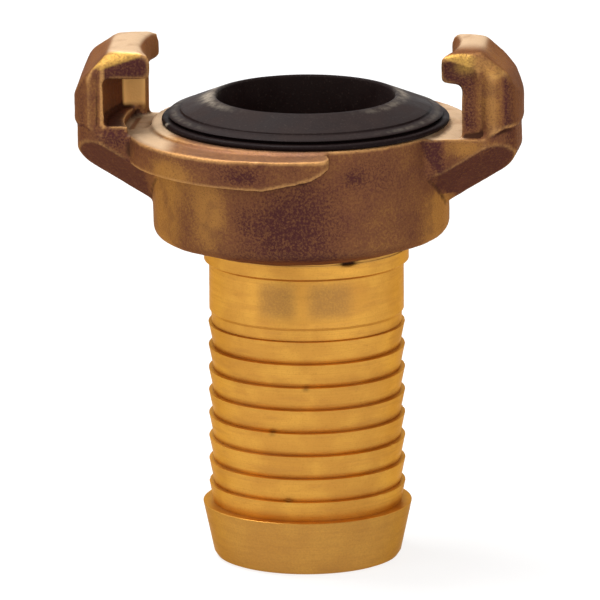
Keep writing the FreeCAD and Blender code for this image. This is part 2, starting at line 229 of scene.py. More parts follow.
# Tint of the oxide round the skirt and on the ledges, golden above 0 and purple below, some of it painted
# light and
# shade on the skirt: strength, angle and half angle in degrees, height and half height in millimetres
SKIRT_R = (19.6, 20.4)
LEDGE_FAR_R = 23.5
SKIRT_STAINS_AND_SHADING = (
    # golden at the left front and purple in the middle front: painted light and shade of the skirt's
    # roundness
    (0.65, -150, 12, 0, math.inf),
    (0.42, -122, 8, 48.0, 5.5),
    (-0.34, -90, 20, 48.0, 5.5),
    (-0.25, -64, 5, 53.6, 1.2),
    (0.30, 60, 25, 0, math.inf),
    (0.30, 130, 25, 0, math.inf),
)
LEDGE_STAINS = (
    (0.40, -132, 14, 53.7, 1.6),
    (-0.35, -104, 6, 54.4, 1.1),
)

# Painted light on the skirt's foot and painted shade of the right claw's keel in a band beside it: the band's
# edge slopes with height
FOOT_PAINTED_LIGHT = 0.70
FOOT_ANGLE = -12
FOOT_HALF_ANGLE = 13
FOOT_TOP_Z = (48.5, 51.0)
KEEL_PAINTED_SHADE = 0.45
BAND_ANGLE = -26
BAND_ANGLE_Z = 54.7
BAND_DEG_PER_MM = 1.84
BAND_FROM_Z = 49

# Sealing ring, in millimetres
RING_HOLE_R = 11.5
BEAD_R = 18.5
BEAD_ROUND = 0.36
BEAD_MIDDLE = 0.38
RING_STEPS_MM = 0.5
RING_SEGMENTS = 256
RING_SAG = 0.06
RING_SEED = 11.0
SAGS_PER_METRE = 140.0

# Marks on the ring, painted light and painted highlights among them: spots as centre and half size, after
# their strength where there are several
# Painted light on the left side of the cone
CONE_PAINTED_LIGHT_SIDE = ((-14.5, -2.5, 59.4), (4.0, 5.5, 3.0))
# Painted highlights on the cone
CONE_PAINTED_HIGHLIGHTS = (
    (0.38, (-12.9, -0.8, 60.4), (2.0, 4.2, 1.2)),
    (0.22, (12.4, 3.0, 60.4), (2.0, 3.6, 1.2)),
)
# Painted highlight on the bead
BEAD_PAINTED_HIGHLIGHT = ((-17.2, -6.9, 57.9), (0.6, 0.6, 0.4))


# Camera, light and stage

def make_camera():
    """Long lens from a little above and to the right, level with the object's own lean."""
    azimuth = math.radians(VIEW_AZIMUTH_DEG)
    elevation = math.radians(VIEW_ELEVATION_DEG)
    roll = math.radians(VIEW_ROLL_DEG)
    back = Vector((
        math.sin(azimuth) * math.cos(elevation),
        -math.cos(azimuth) * math.cos(elevation),
        math.sin(elevation),
    ))
    right = Vector((math.cos(azimuth), math.sin(azimuth), 0))
    up = back.cross(right)
    side = right * math.cos(roll) - up * math.sin(roll)
    top = right * math.sin(roll) + up * math.cos(roll)
    aim = Vector((0, 0, AIM_HEIGHT))
    aim -= side * ((AIM_PIXEL[0] - FRAME_PIXELS / 2) / PIXELS_PER_METRE)
    aim += top * ((AIM_PIXEL[1] - FRAME_PIXELS / 2) / PIXELS_PER_METRE)
    data = bpy.data.cameras.new("camera")
    data.sensor_width = SENSOR_MM
    data.lens = SENSOR_MM * PIXELS_PER_METRE * VIEW_DISTANCE / FRAME_PIXELS
    data.clip_end = VIEW_CLIP_END
    camera = bpy.data.objects.new("camera", data)
    axes = Matrix((side, top, back)).transposed().to_4x4()
    camera.matrix_world = Matrix.Translation(aim + back * VIEW_DISTANCE) @ axes
    bpy.context.collection.objects.link(camera)
    bpy.context.scene.camera = camera


def make_lamp(name, place, side, watts):
    """Soft square lamp that points at the middle of the object."""
    data = bpy.data.lights.new(name, "AREA")
    data.size = side
    data.energy = watts
    lamp = bpy.data.objects.new(name, data)
    lamp.location = place
    towards = Vector((0, 0, AIM_HEIGHT)) - Vector(place)
    lamp.rotation_euler = towards.to_track_quat("-Z", "Y").to_euler()
    bpy.context.collection.objects.link(lamp)


def is_seen_or_mirrored(tree):
    """Socket that is 1 for camera, glossy and transmission rays and 0 for the rest."""
    path = tree.nodes.new("ShaderNodeLightPath")
    total = path.outputs["Is Camera Ray"]
    for ray in ("Is Glossy Ray", "Is Transmission Ray"):
        add = tree.nodes.new("ShaderNodeMath")
        add.operation = "ADD"
        add.use_clamp = True
        tree.links.new(total, add.inputs[0])
        tree.links.new(path.outputs[ray], add.inputs[1])
        total = add.outputs[0]
    return total


def make_world():
    """White surroundings, dimmer as a light than they look."""
    world = bpy.data.worlds.new("studio")
    world.use_nodes = True
    tree = world.node_tree
    background = tree.nodes["Background"]
    background.inputs["Strength"].default_value = 1.0
    mix = tree.nodes.new("ShaderNodeMix")
    mix.data_type = "RGBA"
    mix.inputs["A"].default_value = (WORLD_LIGHT, WORLD_LIGHT, WORLD_LIGHT, 1)
    mix.inputs["B"].default_value = (1, 1, 1, 1)
    tree.links.new(is_seen_or_mirrored(tree), mix.inputs["Factor"])
    tree.links.new(mix.outputs["Result"], background.inputs["Color"])
    bpy.context.scene.world = world


def level_face(name, x_span, y_span, height):
    """Object of one level face that looks up."""
    (x0, x1), (y0, y1) = x_span, y_span
    mesh = bpy.data.meshes.new(name)
    corners = [(x0, y0, height), (x1, y0, height), (x1, y1, height), (x0, y1, height)]
    mesh.from_pydata(corners, [], [(0, 1, 2, 3)])
    return link_mesh(name, mesh)


def make_floor():
    """Pale floor that shows the shadow of the object over a white glow of its own."""
    floor = level_face("floor", (-FLOOR_HALF, FLOOR_HALF), (-FLOOR_HALF, FLOOR_HALF), 0)
    material = bpy.data.materials.new("pale_floor")
    material.use_nodes = True
    tree = material.node_tree
    shader = tree.nodes["Principled BSDF"]
    shader.inputs["Base Color"].default_value = (FLOOR_TONE, FLOOR_TONE, FLOOR_TONE, 1)
    shader.inputs["Roughness"].default_value = 1.0
    shader.inputs["Specular IOR Level"].default_value = 0.0
    glow = tree.nodes.new("ShaderNodeEmission")
    glow.inputs["Color"].default_value = (1, 1, 1, 1)
    strength = math_value(tree, "MULTIPLY", is_seen_or_mirrored(tree), FLOOR_GLOW)
    tree.links.new(strength, glow.inputs["Strength"])
    add = tree.nodes.new("ShaderNodeAddShader")
    tree.links.new(shader.outputs[0], add.inputs[0])
    tree.links.new(glow.outputs[0], add.inputs[1])
    tree.links.new(add.outputs[0], tree.nodes["Material Output"].inputs["Surface"])
    floor.data.materials.append(material)


def make_dark_card():
    """Dark card on the floor in front of the coupling that only shows in its reflections."""
    card = level_face("dark_cards", CARD_X, CARD_Y, CARD_Z)
    material = bpy.data.materials.new("dark_card")
    material.use_nodes = True
    shader = material.node_tree.nodes["Principled BSDF"]
    shader.inputs["Base Color"].default_value = CARD_COLOUR
    shader.inputs["Roughness"].default_value = 1.0
    card.data.materials.append(material)
    card.visible_camera = False
    card.visible_diffuse = False
    card.visible_shadow = False


# Material helpers

def new_material(name):
    """New material with its tree, its shader and the object's own coordinates."""
    material = bpy.data.materials.new(name)
    material.use_nodes = True
    tree = material.node_tree
    coords = tree.nodes.new("ShaderNodeTexCoord")
    return material, tree, tree.nodes["Principled BSDF"], coords.outputs["Object"]


def noise_value(tree, coords, per_mm, detail=3.0, roughness=0.55, stretch=(1, 1, 1)):
    """Noise in 0..1 with the given number of cells per millimetre."""
    mapping = tree.nodes.new("ShaderNodeMapping")
    mapping.inputs["Scale"].default_value = [s * per_mm / MM for s in stretch]
    tree.links.new(coords, mapping.inputs["Vector"])
    texture = tree.nodes.new("ShaderNodeTexNoise")
    texture.inputs["Scale"].default_value = 1.0
    texture.inputs["Detail"].default_value = detail
    texture.inputs["Roughness"].default_value = roughness
    tree.links.new(mapping.outputs[0], texture.inputs["Vector"])
    return texture.outputs["Fac"]


def attribute_value(tree, name):
    """Socket with a vertex attribute of the piece."""
    node = tree.nodes.new("ShaderNodeAttribute")
    node.attribute_name = name
    return node.outputs["Fac"]


def ramp(tree, value, low, high, out_low=0.0, out_high=1.0):
    """Smooth step from out_low at low to out_high at high."""
    node = tree.nodes.new("ShaderNodeMapRange")
    node.interpolation_type = "SMOOTHSTEP"
    node.inputs["From Min"].default_value = low
    node.inputs["From Max"].default_value = high
    node.inputs["To Min"].default_value = out_low
    node.inputs["To Max"].default_value = out_high
    tree.links.new(value, node.inputs["Value"])
    return node.outputs["Result"]


def math_value(tree, operation, a, b):
    """Sum, product or other result of two values, each a socket or a number."""
    node = tree.nodes.new("ShaderNodeMath")
    node.operation = operation
    for socket, value in zip(node.inputs, (a, b)):
        if isinstance(value, (int, float)):
            socket.default_value = value
        else:
            tree.links.new(value, socket)
    return node.outputs[0]


def blend_colour(tree, factor, a, b):
    """Mix of two colours, each a socket or three numbers."""
    node = tree.nodes.new("ShaderNodeMix")
    node.data_type = "RGBA"
    tree.links.new(factor, node.inputs["Factor"])
    for name, value in (("A", a), ("B", b)):
        if isinstance(value, tuple):
            node.inputs[name].default_value = (*value, 1)
        else:
            tree.links.new(value, node.inputs[name])
    return node.outputs["Result"]


def add_bump(tree, shader, height, depth_mm, strength, before=None):
    """Bump of the given depth on the shader, on top of the one before."""
    node = tree.nodes.new("ShaderNodeBump")
    node.inputs["Strength"].default_value = strength
    node.inputs["Distance"].default_value = depth_mm * MM
    tree.links.new(height, node.inputs["Height"])
    if before is not None:
        tree.links.new(before, node.inputs["Normal"])
    tree.links.new(node.outputs[0], shader.inputs["Normal"])
    return node.outputs[0]


# Materials

def oxide_colour_and_shading(tree, coords, patch, grain, speck):
    """Colour of the raw skin: purple to golden by its tint, which also carries painted light and shade, with
    patches, grain, specks and dark corners.
    """
    broad = ramp(tree, noise_value(tree, coords, per_mm=0.11, detail=2.0), 0.3, 0.7, 0.38, 0.60)
    # the tint carries painted light and shade on the skirt and the claws
    tint = math_value(tree, "ADD", attribute_value(tree, "oxide_tint_and_shading"), broad)
    tint = math_value(tree, "ADD", tint, ramp(tree, grain, 0.3, 0.7, -0.12, 0.12))
    tint = math_value(tree, "ADD", tint, ramp(tree, speck, 0.3, 0.7, -0.10, 0.10))
    colour = blend_colour(tree, ramp(tree, tint, 0.10, 0.50), OXIDE_PURPLE, OXIDE_BROWN)
    colour = blend_colour(tree, ramp(tree, tint, 0.48, 0.90), colour, OXIDE_GOLD)
    colour = blend_colour(tree, ramp(tree, patch, 0.48, 0.70, 0, 0.4), colour, OXIDE_PATCH)
    colour = blend_colour(tree, ramp(tree, grain, 0.42, 0.70, 0, 0.35), colour, OXIDE_GRAIN)
    colour = blend_colour(tree, ramp(tree, speck, 0.54, 0.70, 0, 0.55), colour, OXIDE_SPECK)
    corners = ramp(tree, attribute_value(tree, "cavity"), 0.1, 0.9, 0, 0.9)
    return blend_colour(tree, corners, colour, OXIDE_CORNER)


def forged_brass():
    """Raw forging under its oxide, golden where it was worn or trimmed and pale where it was faced, with
    painted highlights on its edges, a painted glint by a nose, and painted light on its tops, rim and pocket
    walls.
    """
    material, tree, shader, coords = new_material("forged_brass")
    patch = noise_value(tree, coords, per_mm=0.33, detail=3.0)
    grain = noise_value(tree, coords, per_mm=3.4, detail=4.0, roughness=0.65)
    speck = noise_value(tree, coords, per_mm=6.0, detail=2.0, roughness=0.6)
    patchy = ramp(tree, grain, 0.30, 0.62, 0.5, 1.0)
    pale = ramp(tree, patch, 0.30, 0.50, 0.7, 1.0)
    worn_and_highlight = math_value(tree, "MULTIPLY", attribute_value(tree, "worn_and_highlight"), patchy)
    trimmed_and_glint = math_value(tree, "MULTIPLY", attribute_value(tree, "trimmed_and_glint"), patchy)
    rubbed_and_lit = attribute_value(tree, "rubbed_and_lit")
    faced_and_lit = math_value(tree, "MULTIPLY", attribute_value(tree, "faced_and_lit"), pale)
    colour = oxide_colour_and_shading(tree, coords, patch, grain, speck)
    # the worn edges carry painted highlights, the trimmed bevels a painted glint, and the rubbed walls and
    # faced tops painted light
    for area, area_colour in (
        (worn_and_highlight, WORN_AND_HIGHLIT_EDGE),
        (trimmed_and_glint, TRIMMED_BEVEL_AND_GLINT),
        (rubbed_and_lit, RUBBED_AND_LIT_STOP),
        (faced_and_lit, FACED_AND_LIT_TOP),
        # painted light on the rim left of the ring, which the left claw's nose shades
        (attribute_value(tree, "painted_light_rim"), PAINTED_RIM_LIGHT),
    ):
        colour = blend_colour(tree, area, colour, area_colour)
    tree.links.new(colour, shader.inputs["Base Color"])
    metal = math_value(tree, "SUBTRACT", 0.8, math_value(tree, "MULTIPLY", faced_and_lit, 0.45))
    metal = math_value(tree, "SUBTRACT", metal, math_value(tree, "MULTIPLY", rubbed_and_lit, 0.75))
    tree.links.new(metal, shader.inputs["Metallic"])
    shader.inputs["Specular IOR Level"].default_value = 0.2
    shader.inputs["Specular Tint"].default_value = FORGED_SHEEN
    rough = ramp(tree, grain, 0.3, 0.7, 0.46, 0.66)
    rough = math_value(tree, "SUBTRACT", rough, math_value(tree, "MULTIPLY", trimmed_and_glint, 0.14))
    tree.links.new(rough, shader.inputs["Roughness"])
    first = add_bump(tree, shader, patch, 0.12, 0.6)
    second = add_bump(tree, shader, grain, 0.07, 0.8, first)
    add_bump(tree, shader, speck, 0.03, 0.8, second)
    return material


def turned_brass():
    """Satin golden brass with fine turning rings, darker lines at the tooth roots, painted dark reflections
    on the neck, a duller end barb and dark flaws.
    """
    material, tree, shader, coords = new_material("turned_brass")
    cloud = noise_value(tree, coords, per_mm=0.16, detail=3.0)
    smear = noise_value(tree, coords, per_mm=0.5, detail=3.0, roughness=0.6, stretch=(0.35, 0.35, 2.2))
    rings = noise_value(tree, coords, per_mm=1.0, detail=2.0, roughness=0.6, stretch=(0.02, 0.02, 9.0))
    grain = noise_value(tree, coords, per_mm=4.0, detail=3.0, roughness=0.6)
    root_line = ramp(tree, attribute_value(tree, "root_line"), 0.05, 0.9, 0, 0.4)
    dull_and_reflection = math_value(tree, "MULTIPLY", attribute_value(tree, "dull_and_reflection"), ramp(tree, grain, 0.3, 0.6, 0.7, 1.0))
    colour = blend_colour(tree, ramp(tree, cloud, 0.38, 0.64), TURNED_DEEP, TURNED_LIGHT)
    for area, area_colour in (
        (ramp(tree, smear, 0.50, 0.72, 0, 0.3), TURNED_SMEAR),
        (ramp(tree, rings, 0.42, 0.66, 0, 0.3), TURNED_RING),
        (ramp(tree, grain, 0.50, 0.70, 0, 0.25), TURNED_GRAIN),
        (root_line, TOOTH_ROOT_LINE),
        # duller end barb and painted dark reflections on the neck
        (dull_and_reflection, DULL_AND_REFLECTED_BRASS),
        (attribute_value(tree, "flaw"), FLAW_DARK),
    ):
        colour = blend_colour(tree, area, colour, area_colour)
    tree.links.new(colour, shader.inputs["Base Color"])
    shader.inputs["Metallic"].default_value = 1.0
    shader.inputs["Specular Tint"].default_value = TURNED_SHEEN
    tree.links.new(ramp(tree, smear, 0.3, 0.7, 0.36, 0.52), shader.inputs["Roughness"])
    first = add_bump(tree, shader, rings, 0.02, 0.7)
    add_bump(tree, shader, grain, 0.02, 0.8, first)
    return material


def moulded_rubber():
    """Near-black rubber with a dusty bloom and painted light on the cone, and pale scuffs with painted
    highlights.
    """
    material, tree, shader, coords = new_material("moulded_rubber")
    bloom = noise_value(tree, coords, per_mm=0.22, detail=4.0, roughness=0.6)
    grain = noise_value(tree, coords, per_mm=3.2, detail=3.0, roughness=0.6)
    spot_noise = noise_value(tree, coords, per_mm=0.9, detail=4.0, roughness=0.65)
    uneven_bloom = ramp(tree, bloom, 0.35, 0.68, 0.35, 1.0)
    uneven_spots = ramp(tree, spot_noise, 0.35, 0.65, 0.55, 1.1)
    dusty_and_lit = math_value(tree, "MULTIPLY", attribute_value(tree, "dust_and_light"), uneven_bloom)
    scuff_and_highlight = math_value(tree, "MULTIPLY", attribute_value(tree, "scuff_and_highlight"), uneven_spots)
    colour = blend_colour(tree, dusty_and_lit, RUBBER_BLACK, RUBBER_DUST_AND_LIGHT)
    colour = blend_colour(tree, ramp(tree, grain, 0.56, 0.72, 0, 0.35), colour, RUBBER_GRAIN)
    colour = blend_colour(tree, ramp(tree, scuff_and_highlight, 0.1, 1.0), colour, RUBBER_SCUFF_AND_HIGHLIGHT)
    tree.links.new(colour, shader.inputs["Base Color"])
    tree.links.new(ramp(tree, bloom, 0.3, 0.7, 0.46, 0.66), shader.inputs["Roughness"])
    shader.inputs["Specular IOR Level"].default_value = 0.06
    add_bump(tree, shader, grain, 0.03, 0.6)
    return material


# Mesh helpers

def link_mesh(name, mesh):
    """New object of a mesh, in the scene."""
    piece = bpy.data.objects.new(name, mesh)
    bpy.context.collection.objects.link(piece)
    return piece


def apply_modifiers(piece):
    """Gives a piece the plain mesh that its modifiers make, and takes them off."""
    graph = bpy.context.evaluated_depsgraph_get()
    mesh = bpy.data.meshes.new_from_object(piece.evaluated_get(graph))
    piece.modifiers.clear()
    piece.data = mesh


def profile_mesh(name, points_mm, step_mm):
    """Open chain of vertices (radius, 0, height) along a profile, with no run longer than step_mm."""
    chain = []
    for (r0, z0), (r1, z1) in zip(points_mm, points_mm[1:]):
        parts = max(1, math.ceil(math.hypot(r1 - r0, z1 - z0) / step_mm))
        for k in range(parts):
            chain.append((r0 + (r1 - r0) * k / parts, 0, z0 + (z1 - z0) * k / parts))
    chain.append((points_mm[-1][0], 0, points_mm[-1][1]))
    links = [(k, k + 1) for k in range(len(chain) - 1)]
    mesh = bpy.data.meshes.new(name)
    mesh.from_pydata([[v * MM for v in p] for p in chain], links, [])
    return mesh


def face_outward(mesh):
    """Points all faces of the closed shells outwards and shades them smooth up to a sharp angle."""
    shell = bmesh.new()
    shell.from_mesh(mesh)
    bmesh.ops.recalc_face_normals(shell, faces=shell.faces)
    shell.to_mesh(mesh)
    shell.free()
    mesh.shade_smooth()
    mesh.set_sharp_from_angle(angle=math.radians(SHARP_ANGLE_DEG))


def vertex_places(mesh):
    """Places of the vertices, in metres."""
    places = np.empty(len(mesh.vertices) * 3)
    mesh.vertices.foreach_get("co", places)
    return places.reshape(-1, 3)


def vertex_pairs(mesh):
    """The two vertices of each edge."""
    edges = np.empty(len(mesh.edges) * 2, np.int64)
    mesh.edges.foreach_get("vertices", edges)
    return edges.reshape(-1, 2)


def set_places(mesh, places):
    """Moves the vertices to places in millimetres and gives their new normals."""
    mesh.vertices.foreach_set("co", (places * MM).ravel())
    mesh.update()
    normals = np.empty(len(mesh.vertices) * 3)
    mesh.vertices.foreach_get("normal", normals)
    return normals.reshape(-1, 3)


def neighbour_mean(values, edges):
    """Mean of each vertex's neighbours."""
    count = np.bincount(edges.ravel(), minlength=len(values))[:, None]
    total = np.stack([
        np.bincount(edges[:, 0], values[edges[:, 1], k], len(values))
        + np.bincount(edges[:, 1], values[edges[:, 0], k], len(values))
        for k in range(values.shape[1])
    ], 1)
    return total / np.maximum(count, 1)


def store_attribute(mesh, name, values):
    """Keeps one value for each vertex under a name that a material reads."""
    mesh.attributes.new(name, "FLOAT", "POINT").data.foreach_set("value", values.astype(np.float32))


def radius_of(places):
    """Distance from the turned axis."""
    return np.hypot(places[:, 0], places[:, 1])


def smooth_step(value, low, high):
    """0 below low, 1 above high, and smooth between."""
    share = np.clip((value - low) / (high - low), 0, 1)
    return share * share * (3 - 2 * share)


def swell(value, middle, half_width):
    """Soft bump of height 1 across a line."""
    return np.exp(-(((value - middle) / half_width) ** 2))


def spot(places, centre, size, squareness=2):
    """Spot of given half size, 1 at its centre, all in millimetres: round and soft at 2, boxy at more."""
    return np.exp(-(np.abs((places - np.array(centre)) / np.array(size)) ** squareness).sum(1))


# Geometry Nodes

class Tree:
    """Geometry node tree with short calls for its nodes and named inputs."""

    def __init__(self, name):
        self.group = bpy.data.node_groups.new(name, "GeometryNodeTree")
        self.group.interface.new_socket("Geometry", in_out="INPUT", socket_type="NodeSocketGeometry")
        self.group.interface.new_socket("Geometry", in_out="OUTPUT", socket_type="NodeSocketGeometry")
        self.start = self.group.nodes.new("NodeGroupInput")
        self.end = self.group.nodes.new("NodeGroupOutput")

    def put(self, value, socket):
        """Links a socket or sets a value, and leaves the default where there is neither."""
        if isinstance(value, bpy.types.NodeSocket):
            self.group.links.new(value, socket)
        elif value is not None:
            socket.default_value = value

    def node(self, kind, settings=None, **inputs):
        """New node with its settings and with values for its inputs by name."""
        made = self.group.nodes.new(kind)
        for key, value in (settings or {}).items():
            setattr(made, key, value)
        for key, value in inputs.items():
            self.put(value, made.inputs[key.replace("_", " ")])
        return made

    def math(self, operation, a, b=None):
        """Result of one step of arithmetic on numbers."""
        made = self.node("ShaderNodeMath", {"operation": operation})
        self.put(a, made.inputs[0])
        self.put(b, made.inputs[1])
        return made.outputs[0]

    def vector(self, operation, a, b=None):
        """Node for one step of arithmetic on vectors."""
        made = self.node("ShaderNodeVectorMath", {"operation": operation})
        self.put(a, made.inputs[0])
        self.put(b, made.inputs[1])
        return made

    def add_input(self, name, default, kind="NodeSocketFloat"):
        """New named input of the tree."""
        socket = self.group.interface.new_socket(name, in_out="INPUT", socket_type=kind)
        if default is not None:
            socket.default_value = default
        return self.start.outputs[name]

    def input_id(self, name):
        """Identifier of a named input."""
        sockets = self.group.interface.items_tree
        return next(s.identifier for s in sockets if s.name == name and s.in_out == "INPUT")


def revolve_group():
    """Turns a chain of vertices in the XZ plane about Z into a closed surface."""
    tree = Tree("revolve_profile")
    around = tree.add_input("Segments", RING_SEGMENTS, "NodeSocketInt")
    chain = tree.start.outputs["Geometry"]
    size = tree.node("GeometryNodeAttributeDomainSize", {"component": "MESH"}, Geometry=chain)
    rows = size.outputs["Point Count"]
    columns = tree.math("ADD", around, 1)
    grid = tree.node("GeometryNodeMeshGrid", Vertices_X=columns, Vertices_Y=rows).outputs["Mesh"]
    index = tree.node("GeometryNodeInputIndex").outputs[0]
    row = tree.math("MODULO", index, rows)
    column = tree.math("FLOOR", tree.math("DIVIDE", tree.math("ADD", index, 0.5), rows))
    angle = tree.math("DIVIDE", tree.math("MULTIPLY", column, math.tau), around)
    position = tree.node("GeometryNodeInputPosition").outputs[0]
    sample = tree.node("GeometryNodeSampleIndex", {"data_type": "FLOAT_VECTOR"})
    tree.put(chain, sample.inputs["Geometry"])
    tree.put(position, next(s for s in sample.inputs if s.name == "Value" and s.enabled))
    tree.put(row, sample.inputs["Index"])
    point = tree.node("ShaderNodeSeparateXYZ", Vector=next(s for s in sample.outputs if s.enabled))
    radius = point.outputs["X"]
    place = tree.node(
        "ShaderNodeCombineXYZ",
        X=tree.math("MULTIPLY", radius, tree.math("COSINE", angle)),
        Y=tree.math("MULTIPLY", radius, tree.math("SINE", angle)),
        Z=point.outputs["Z"],
    ).outputs[0]
    moved = tree.node("GeometryNodeSetPosition", Geometry=grid, Position=place).outputs[0]
    merged = tree.node("GeometryNodeMergeByDistance", Geometry=moved, Distance=1e-7).outputs[0]
    tree.put(merged, tree.end.inputs[0])
    return tree.group


def use_revolve(tree, revolve, chain, segments):
    """Closed surface that the revolving group makes of a chain."""
    node = tree.group.nodes.new("GeometryNodeGroup")
    node.node_tree = revolve
    tree.put(chain, node.inputs["Geometry"])
    tree.put(segments, node.inputs["Segments"])
    return node.outputs[0]


def uneven_value(tree, position, seed, per_metre, detail):
    """Noise in 0..1 at a position, drawn anew for each seed."""
    texture = tree.node("ShaderNodeTexNoise", {"noise_dimensions": "4D"}, Vector=position, Detail=detail)
    tree.put(seed, texture.inputs["W"])
    tree.put(per_metre, texture.inputs["Scale"])
    return texture.outputs["Fac"]


def finish_tree(tree, geometry, material):
    """Ends a tree in Realize Instances and Set Material."""
    real = tree.node("GeometryNodeRealizeInstances", Geometry=geometry).outputs[0]
    painted = tree.node("GeometryNodeSetMaterial", Geometry=real, Material=material).outputs[0]
    tree.put(painted, tree.end.inputs[0])


def run_tree(piece, tree, values):
    """Runs a tree on a piece with values for its named inputs, and keeps the plain result."""
    modifier = piece.modifiers.new("shape", "NODES")
    modifier.node_group = tree.group
    for name, value in values.items():
        modifier[tree.input_id(name)] = value
    apply_modifiers(piece)


# Turned tail

def tooth_profile():
    """Section of one saw tooth, closed, at the height of the first tooth, with its edge just broken."""
    low = TOOTH_START_Z + TOOTH_STEP
    high = TOOTH_START_Z + TOOTH_PITCH
    return [
        (TOOTH_ROOT_R - TOOTH_SINK, low),
        (TOOTH_ROOT_R, low),
        (TOOTH_ROOT_R + 0.03, low + RESIDUE_HEIGHT),
        (TOOTH_R - 0.02, high - 0.06),
        (TOOTH_R, high),
        (TOOTH_R - 0.05, high + 0.02),
        (TOOTH_ROOT_R, high + TOOTH_STEP),
        (TOOTH_ROOT_R - TOOTH_SINK, high + TOOTH_STEP),
        (TOOTH_ROOT_R - TOOTH_SINK, low),
    ]


def core_profile():
    """Section of everything else that was turned: end barb, neck, collar, seat of the ring and waterway."""
    root = TOOTH_ROOT_R - CORE_BELOW_ROOT
    teeth_top = TOOTH_START_Z + TOOTH_COUNT * TOOTH_PITCH + TOOTH_STEP
    rim = RIM_Z - CORE_BELOW_RIM
    end_barb = [(11.2, 0), (11.7, 0.2), (12.1, 0.8), (13.44, 7.0), (BARB_R, 7.2), (13.40, 7.26), (root, 7.3)]
    neck = [(root, teeth_top - CORE_BELOW_ROOT), (12.25, teeth_top), (12.30, 32.4), (NECK_R, NECK_LOW_Z)]
    neck += [(NECK_R, NECK_LOW_Z + k * NECK_STEP) for k in range(1, NECK_ROWS)]
    collar = [(NECK_R, 38.9), (12.62, 39.0), (13.12, 39.28)]
    collar += [(COLLAR_R, z) for z in (39.36, 40.5, 40.8, COLLAR_TOP_Z)]
    in_head = [(CORE_NECK_R, z) for z in (COLLAR_TOP_Z, 41.3, 41.6, CORE_CONE_Z[0])]
    in_head += [(CORE_R, CORE_CONE_Z[1]), (CORE_R, rim), (SEAT_R, rim)]
    seat = [
        (SEAT_R, UNDERCUT_Z[1]), (UNDERCUT_R, UNDERCUT_Z[1]), (UNDERCUT_R, UNDERCUT_Z[0]),
        (SEAT_R, UNDERCUT_Z[0]), (SEAT_R, SEAT_Z), (BORE_R, SEAT_Z),
    ]
    return [(BORE_R, 0), *end_barb, *neck, *collar, *in_head, *seat, (BORE_R, 0)]


def dented(tree, teeth, dent, threshold, seed):
    """Teeth with small dents pushed towards the axis, deepest at the edge."""
    position = tree.node("GeometryNodeInputPosition").outputs[0]
    uneven = uneven_value(tree, position, seed, DENTS_PER_METRE, 2.0)
    deep = tree.math("MAXIMUM", tree.math("SUBTRACT", uneven, threshold), 0.0)
    flat = tree.vector("MULTIPLY", position, (1, 1, 0)).outputs[0]
    outward = tree.vector("NORMALIZE", flat).outputs[0]
    radius = tree.vector("LENGTH", flat).outputs["Value"]
    near_edge = tree.node("ShaderNodeMapRange", {"interpolation_type": "SMOOTHSTEP"}, Value=radius)
    near_edge.inputs["From Min"].default_value = (TOOTH_ROOT_R + 0.25) * MM
    near_edge.inputs["From Max"].default_value = TOOTH_R * MM
    inward = tree.math("MULTIPLY", near_edge.outputs[0], -DENT_GAIN)
    depth = tree.math("MULTIPLY", tree.math("MULTIPLY", deep, dent), inward)
    push = tree.vector("SCALE", outward)
    tree.put(depth, push.inputs["Scale"])
    return tree.node("GeometryNodeSetPosition", Geometry=teeth, Offset=push.outputs[0]).outputs[0]


def tail_tree(revolve):
    """Tree that repeats one revolved tooth up the revolved core and dents its edge."""
    tree = Tree("barbed_tail")
    section = tree.add_input("Tooth Section", None, "NodeSocketObject")
    segments = tree.add_input("Segments", TAIL_SEGMENTS, "NodeSocketInt")
    count = tree.add_input("Tooth Count", TOOTH_COUNT, "NodeSocketInt")
    pitch = tree.add_input("Tooth Pitch", TOOTH_PITCH * MM)
    dent = tree.add_input("Dent Depth", DENT_DEPTH * MM)
    threshold = tree.add_input("Dent Threshold", DENT_THRESHOLD)
    seed = tree.add_input("Seed", DENT_SEED)
    material = tree.add_input("Material", None, "NodeSocketMaterial")
    chain = tree.node("GeometryNodeObjectInfo", Object=section).outputs["Geometry"]
    tooth = use_revolve(tree, revolve, chain, segments)
    step = tree.node("ShaderNodeCombineXYZ", Z=pitch).outputs[0]
    spots = tree.node("GeometryNodeMeshLine", {"mode": "OFFSET"}, Count=count, Offset=step).outputs[0]
    teeth = tree.node("GeometryNodeInstanceOnPoints", Points=spots, Instance=tooth).outputs[0]
    teeth = tree.node("GeometryNodeRealizeInstances", Geometry=teeth).outputs[0]
    teeth = dented(tree, teeth, dent, threshold, seed)
    core = use_revolve(tree, revolve, tree.start.outputs["Geometry"], segments)
    join = tree.node("GeometryNodeJoinGeometry")
    tree.put(teeth, join.inputs[0])
    tree.put(core, join.inputs[0])
    finish_tree(tree, join.outputs[0], material)
    return tree


def turned_tail(revolve):
    """Core and saw teeth in one piece, with the marks that the tail has."""
    tail = link_mesh("turned_tail", profile_mesh("tail_core", core_profile(), CORE_STEPS_MM))
    tooth = link_mesh("tooth_section", profile_mesh("tooth_section", tooth_profile(), TOOTH_STEPS_MM))
    values = {"Tooth Section": tooth, "Material": turned_brass(), "Segments": TAIL_SEGMENTS}
    run_tree(tail, tail_tree(revolve), values)
    bpy.data.objects.remove(tooth)
    face_outward(tail.data)
    mark_root_lines(tail.data)
    mark_dull_and_reflections(tail.data)
    cut_flaws(tail.data)
    return tail


